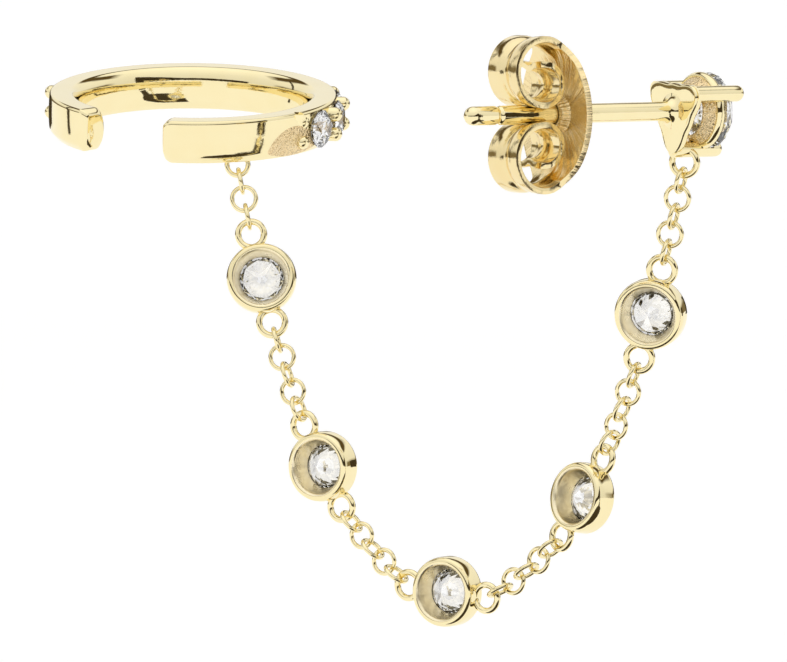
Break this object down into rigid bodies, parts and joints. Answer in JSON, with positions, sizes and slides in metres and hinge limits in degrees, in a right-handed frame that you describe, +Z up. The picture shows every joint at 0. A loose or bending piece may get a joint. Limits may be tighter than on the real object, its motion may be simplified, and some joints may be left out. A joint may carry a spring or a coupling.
{
  "type": "ear chain earring",
  "caption": "Ear chain earring: a prong-set stud on a post with a friction back, joined by a fine chain of links and bezel-set stones to an open cuff set with small stones.",
  "frame": {"origin": "on the post's axis at the rear face of the stud's back plate, where the front of the ear lobe rests", "axes": "+Y is the way the stud faces, the post runs along -Y, +Z is up, and the chain and the cuff lie towards -X"},
  "size_m": [0.033, 0.0147, 0.024],
  "materials": {
    "gold": "polished",
    "stone": "polished"
  },
  "bodies": {
    "earring": {"stud_setting": "gold", "stud_stone": "stone", "cuff": "gold", "cuff_stones": "stone", "bezel_1": "gold", "bezel_2": "gold", "bezel_3": "gold", "bezel_4": "gold", "bezel_5": "gold", "bezel_stone_1": "stone", "bezel_stone_2": "stone", "bezel_stone_3": "stone", "bezel_stone_4": "stone", "bezel_stone_5": "stone", "link_01": "gold", "link_02": "gold", "link_03": "gold", "link_04": "gold", "link_05": "gold", "link_06": "gold", "link_07": "gold", "link_08": "gold", "link_09": "gold", "link_10": "gold", "link_11": "gold", "link_12": "gold", "link_13": "gold", "link_14": "gold", "link_15": "gold", "link_16": "gold", "link_17": "gold", "link_18": "gold", "link_19": "gold", "link_20": "gold", "link_21": "gold", "link_22": "gold", "link_23": "gold", "link_24": "gold", "link_25": "gold", "link_26": "gold", "link_27": "gold", "link_28": "gold"},
    "friction_back": {"friction_back": "gold"}
  },
  "joints": [
    {"name": "friction_back_slide", "type": "slide", "parent": "earring", "child": "friction_back", "axis": [0, 1, 0], "range_m": [-0.004, 0.0045]}
  ]
}
